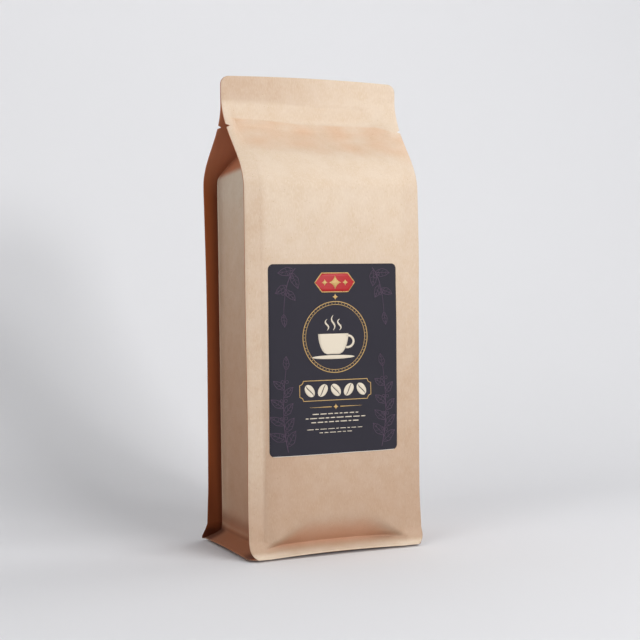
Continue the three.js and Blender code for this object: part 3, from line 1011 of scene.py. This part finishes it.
def plain_material(name, hex_colour, roughness, specular, tooth=0.0):
    """A material of one colour, with a noise bump for a tooth in its surface where tooth is above
    0."""
    material, tree = new_material(name)
    shader = add(tree, "ShaderNodeBsdfPrincipled", {
        "Base Color": linear(hex_colour), "Roughness": roughness, "IOR": PRINT_IOR,
        "Specular IOR Level": specular})
    if tooth:
        place = add(tree, "ShaderNodeTexCoord").outputs["Object"]
        noise = add(tree, "ShaderNodeTexNoise", {"Vector": place, "Scale": 1 / TOOTH_SIZE})
        bump = add(tree, "ShaderNodeBump", {
            "Height": noise.outputs["Fac"], "Strength": tooth, "Distance": TOOTH_DEPTH})
        tree.links.new(bump.outputs[0], shader.inputs["Normal"])
    add(tree, "ShaderNodeOutputMaterial", {"Surface": shader.outputs[0]})
    return material


# %% Build the label, with bare paper along its cut edge
BARE_ROWS = 2                    # and over a hair of its face along the bottom
label = new_piece("paper_label", on_label(sheet_places), [sheet_quads],
                  plain_material("label_paper_matt_print", "#29272f", 0.72, 0.18, 0.4))
label.data.materials.append(plain_material("label_paper_cut_edge", "#d9d4cc", 0.8, 0.2))
edge_count = 2 * (LABEL_COLUMNS - 1) + 2 * (len(sheet_rows) - 1)
bare = np.arange(len(sheet_quads)) >= len(sheet_quads) - edge_count
bare[:BARE_ROWS * 2 * (LABEL_COLUMNS - 1)] = True
label.data.polygons.foreach_set("material_index", bare.astype(np.int32))
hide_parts("label")
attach(label, "root")

# %% [markdown]
# ## The print
#
# The print is a plain generic design: a red badge, a cup in a double ring, a ticket of five beans,
# rows of dashes, and sprigs of the coffee plant up the sides. Every part of it is a line, a filled
# shape or half a bean, since each of those is one simple grid. Sizes are millimetres on the label.

# %% Grids for lines and filled shapes
def line(path, width):
    """A line along a path, (n, 2): each point is pushed half the width both ways, square to the
    direction between its neighbours. The width may change along the path."""
    path = np.asarray(path, float)
    ring = np.allclose(path[0], path[-1])
    if ring:
        path = path[:-1]
        step = np.roll(path, -1, 0) - np.roll(path, 1, 0)
    else:
        step = np.gradient(path, axis=0)
    step /= np.linalg.norm(step, axis=1, keepdims=True)
    side = np.stack([-step[:, 1], step[:, 0]], -1)
    side *= np.broadcast_to(width, len(path))[:, None] / 2
    return slab(np.stack([path - side, path + side], 1), ring)


def fill(across, half_height, centre, columns, rise=INK_RISE):
    """A filled shape that is as tall above its middle line as below it."""
    up = np.asarray(half_height)[:, None] * np.linspace(-1, 1, columns)
    grid = np.stack(np.broadcast_arrays(np.asarray(across)[:, None], up), -1)
    return slab(grid + centre, False, rise)


def stepped(path, longest=2.0):
    """The same path with its long straight stretches cut up, so that it can follow a curved face."""
    path = np.asarray(path, float)
    pieces = []
    for a, b in zip(path[:-1], path[1:]):
        steps = max(1, math.ceil(np.linalg.norm(b - a) / longest))
        pieces.append(mix(a, b, np.linspace(0, 1, steps, endpoint=False)[:, None]))
    return np.concatenate([*pieces, path[-1:]])


def ellipse(centre, half_width, half_height, first=0.0, last=360.0, steps=48):
    """A path round an ellipse, between two angles in degrees."""
    angle = np.radians(np.linspace(first, last, steps + 1))
    return np.stack([half_width * np.cos(angle), half_height * np.sin(angle)], -1) + centre


def star(centre, size, rise=INK_RISE):
    """A four-pointed star: an astroid, x^(2/3) + y^(2/3) = size^(2/3)."""
    across = np.linspace(-0.98, 0.98, 15)
    half = (1 - np.abs(across) ** (2 / 3)) ** 1.5
    return fill(across * size, half * size, centre, 3, rise)


# %% The badge
BADGE_UP = 50.5
BADGE_HALF = 14.5
BADGE_TALL = 6.2
BADGE_POINT = 5.0                # the length of each pointed end
BADGE_RIM = 0.7
BADGE_STARS = [(0, 4.6), (-7.5, 2.2), (7.5, 2.2)]  # across, size

tip = np.linspace(0.2, BADGE_POINT, 5)
body = np.linspace(7, 2 * BADGE_HALF - 7, 9)
across = np.concatenate([tip, body, 2 * BADGE_HALF - tip[::-1]]) - BADGE_HALF
half = BADGE_TALL * np.clip((BADGE_HALF - np.abs(across)) / BADGE_POINT, 0, 1)
red_slabs = [fill(across, half, (0, BADGE_UP), 7)]
flat = BADGE_HALF - BADGE_POINT
rim = [(-BADGE_HALF, 0), (-flat, BADGE_TALL), (flat, BADGE_TALL), (BADGE_HALF, 0),
       (flat, -BADGE_TALL), (-flat, -BADGE_TALL), (-BADGE_HALF, 0)]
gold_slabs = [line(stepped(rim) + [0, BADGE_UP], BADGE_RIM)]
gold_on_red = [star((place, BADGE_UP), size, ON_INK) for place, size in BADGE_STARS]

# %% The double ring
RING_UP = 14.5
RING_RADIUS = 23.4
RING_GAP = 1.9
RING_TICKS = 60
TICK_WIDTH = 0.28
tick_reach = np.array([[RING_RADIUS - RING_GAP + 0.45], [RING_RADIUS - 0.55]])   # clear of both
for radius, width in ((RING_RADIUS, 0.5), (RING_RADIUS - RING_GAP, 0.3)):
    gold_slabs.append(line(ellipse((0, RING_UP), radius, radius, steps=120), width))
for turn in np.arange(RING_TICKS) * 2 * np.pi / RING_TICKS:
    out = np.array([np.cos(turn), np.sin(turn)])
    gold_slabs.append(line(out * tick_reach + [0, RING_UP], TICK_WIDTH))

# %% The cup, its saucer and its steam
CUP_ACROSS = -1.5
CUP_UP = 3.2
CUP_TALL = 13.5
CUP_FOOT = 4.4                   # half the cup's width at its foot
CUP_SWELL = 6.6                  # and how much wider it is at the rim
SAUCER_UP = 1.3
SAUCER_HALF = 15.5
SAUCER_TALL = 1.3
HANDLE = {"centre": (8.9, 11.4), "half_width": 4.4, "half_height": 3.9, "first": -105, "last": 100,
          "steps": 20}
HANDLE_WIDTH = 1.5
STEAM = [(-6, 7.5), (-1.5, 10), (3, 7.5)]  # across, height
STEAM_UP = CUP_UP + CUP_TALL + 2.2
STEAM_SWAY = 1.2
STEAM_TIP = 0.25                 # how wide each curl is at its ends
STEAM_SWELL = 0.95               # and how much wider in its middle

share = np.linspace(0, 1, 14)
half = CUP_FOOT + CUP_SWELL * np.sqrt(np.sin(share * np.pi / 2))
bowl = np.stack(np.broadcast_arrays(half[:, None] * np.linspace(-1, 1, 11) + CUP_ACROSS,
                                    (CUP_UP + CUP_TALL * share)[:, None]), -1)
turn = np.linspace(0.97, 0.03, 16) * np.pi
saucer = fill(SAUCER_HALF * np.cos(turn), SAUCER_TALL * np.sin(turn), (CUP_ACROSS, SAUCER_UP), 5)
cream_slabs = [slab(bowl), saucer, line(ellipse(**HANDLE), HANDLE_WIDTH)]
share = np.linspace(0, 1, 16)
for across, tall in STEAM:
    sway = across + STEAM_SWAY * np.sin(2 * np.pi * share)
    curl = np.stack([sway, STEAM_UP + tall * share], -1)
    cream_slabs.append(line(curl, STEAM_TIP + STEAM_SWELL * np.sin(np.pi * share)))

# %% The ticket of beans
TICKET_UP = -20.5
TICKET_HALF = 26.0
TICKET_TALL = 6.6
TICKET_BITE = 2.6                # the radius of the bite out of each corner
TICKET_LINE = 0.45
BEAN_TALL = 4.5
BEAN_HALF = 3.1
BEAN_SPLIT = 0.55                # how wide the split is, and how far it sways
BEAN_SPACING = 9.4
BEAN_TILT = 35

# side, top or bottom, and the angles between which the bite runs
corners = [(1, 1, 270, 180), (-1, 1, 360, 270), (-1, -1, 90, 0), (1, -1, 180, 90)]
bites = [ellipse((side * TICKET_HALF, TICKET_UP + end * TICKET_TALL), TICKET_BITE, TICKET_BITE,
                 first, last, 8) for side, end, first, last in corners]
gold_slabs.append(line(stepped(np.concatenate([*bites, bites[0][:1]])), TICKET_LINE))


def bean(centre, tilt):
    """A coffee bean: two halves either side of an S-shaped split, turned by `tilt` degrees."""
    share = np.linspace(0.02, 0.98, 15)[:, None]
    up = -BEAN_TALL * np.cos(share * np.pi)
    split = BEAN_SPLIT * np.sin(2 * np.pi * share)
    turn = math.radians(tilt)
    halves = []
    for side in (-1, 1):
        outer = side * BEAN_HALF * np.sin(share * np.pi)
        inner = split + side * BEAN_SPLIT / 2 * np.sin(share * np.pi)
        across = mix(inner, outer, np.linspace(0, 1, 4))
        grid = np.stack([across * math.cos(turn) - up * math.sin(turn),
                         across * math.sin(turn) + up * math.cos(turn)], -1)
        halves.append(slab(grid + centre))
    return halves


for place in range(-2, 3):
    cream_slabs += bean((place * BEAN_SPACING, TICKET_UP), BEAN_TILT * (-1) ** place)

# %% Rules and rows of dashes
RULE_UP = -31.5
RULE_ENDS = (3.2, 19)
RULE_WIDTHS = (0.6, 0.12)
DASH_ROWS = [(-36.0, 17, 0.65), (-38.7, 22, 0.65), (-41.4, 18, 0.65), (-46.0, 21, 0.45),
             (-48.4, 12, 0.45)]              # up, half length, thickness
DASH_LENGTHS = (1.8, 5.2)
DASH_GAP = 1.1
DASH_SEED = 5

for side in (-1, 1):
    rule = np.stack([side * np.linspace(*RULE_ENDS, 12), np.full(12, RULE_UP)], -1)
    gold_slabs.append(line(rule, np.linspace(*RULE_WIDTHS, 12)))
gold_slabs += [star((0, RULE_UP), 1.9), star((0, 41.0), 2.1)]

draw = np.random.default_rng(DASH_SEED)
for up, half, thick in DASH_ROWS:
    here = -half
    while here < half - 1:
        length = min(draw.uniform(*DASH_LENGTHS), half - here)
        dash = np.stack([np.linspace(here, here + length, 4), np.full(4, up)], -1)
        cream_slabs.append(line(dash, thick))
        here += length + DASH_GAP

# %% Sprigs of the coffee plant
EDGE_LINE = 0.34
MID_VEIN = 0.30
SIDE_VEIN = 0.22
STEM_WIDTHS = (0.6, 0.3)
LEAF_TURN = 0.85                 # radians from the stem
LEAF_HALF = 0.24                 # half a leaf's width, as a share of its length
TIP_LENGTH = 0.75                # the leaf at the tip is shorter and narrower
TIP_HALF = 0.17
BERRY_RADIUS = 1.0
BERRY_OUT = 1.5
# start, bend and end of the stem, pairs of leaves, length of the first
SPRIGS = [((34, -60), (40, -38), (35.5, -6), 4, 11.8), ((28, 60), (36, 52), (36.5, 30), 2, 11.0)]


def leaf(base, angle, length, half_width):
    """The outline, the mid vein and three pairs of side veins of a leaf. The edges are a sine
    with a faint ripple."""
    share = np.linspace(0, 1, 13)
    bulge = half_width * np.sin(np.pi * share ** 0.85) + 0.05 * half_width * np.sin(6 * np.pi * share)
    bend = 0.10 * length * np.sin(np.pi * share / 2) ** 2
    paths = [(np.stack([length * share, bend + side * bulge], -1), width)
             for side, width in ((1, EDGE_LINE), (-1, EDGE_LINE), (0, MID_VEIN))]
    vein = np.linspace(0, 0.8, 4)
    for start in (2, 5, 8):
        for side in (-1, 1):
            reach = np.interp(share[start] + 0.14, share, bulge)
            paths.append((np.stack([length * (share[start] + 0.14 * vein),
                                    bend[start] + side * reach * vein], -1), SIDE_VEIN))
    turn = np.array([[math.cos(angle), math.sin(angle)], [-math.sin(angle), math.cos(angle)]])
    return [line(path @ turn + base, width) for path, width in paths]


def sprig(start, bend, end, pairs, length):
    """A stem along a quadratic curve, with pairs of leaves that shorten towards its tip, a leaf
    at the tip, and berries between the pairs."""
    t = np.linspace(0, 1, 25)[:, None]
    stem = (1 - t) ** 2 * np.array(start) + 2 * t * (1 - t) * np.array(bend) + t ** 2 * np.array(end)
    made = [line(stem, np.linspace(*STEM_WIDTHS, 25))]
    heading = np.gradient(stem, axis=0)
    angles = np.arctan2(heading[:, 1], heading[:, 0])
    for pair in range(pairs):
        at = int(2 + pair * 20 / pairs)
        size = length * (1 - 0.3 * pair / pairs)
        for side, later in ((-1, 0), (1, 2)):
            made += leaf(stem[at + later], angles[at + later] + side * LEAF_TURN, size, LEAF_HALF * size)
        square = np.array([-math.sin(angles[at]), math.cos(angles[at])])
        for side in (-1, 1):
            berry = stem[at + 4] + side * BERRY_OUT * square
            made.append(line(ellipse(berry, BERRY_RADIUS, BERRY_RADIUS, steps=14), MID_VEIN))
    return made + leaf(stem[-1], angles[-1], length * TIP_LENGTH, TIP_HALF * length)


mauve_slabs = []
for side in (-1, 1):
    for *stem, pairs, length in SPRIGS:
        mauve_slabs += sprig(*[(side * place, up) for place, up in stem], pairs, length)

# %% [markdown]
# Each ink is printed in one pass, so each is one piece. Red and gold lie thick and dry with a satin
# sheen; cream and mauve lie thin and dry matt.

# %% Print each ink as one piece
# name, slabs, finish, colour, roughness, specular
INKS = [
    ("print_red", red_slabs, "ink_red_satin", "#9c1118", 0.45, 0.3),
    ("print_gold", gold_slabs + gold_on_red, "ink_gold_satin", "#b8965c", 0.4, 0.3),
    ("print_cream", cream_slabs, "ink_cream_matt", "#c9beac", 0.6, 0.2),
    ("print_mauve", mauve_slabs, "ink_mauve_matt", "#4b3c4c", 0.6, 0.2),
]
for name, slabs, finish, *look in INKS:
    places, quads = joined(slabs)
    ink = new_piece(name, on_label(places), [quads], plain_material(finish, *look))
    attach(ink, "root")
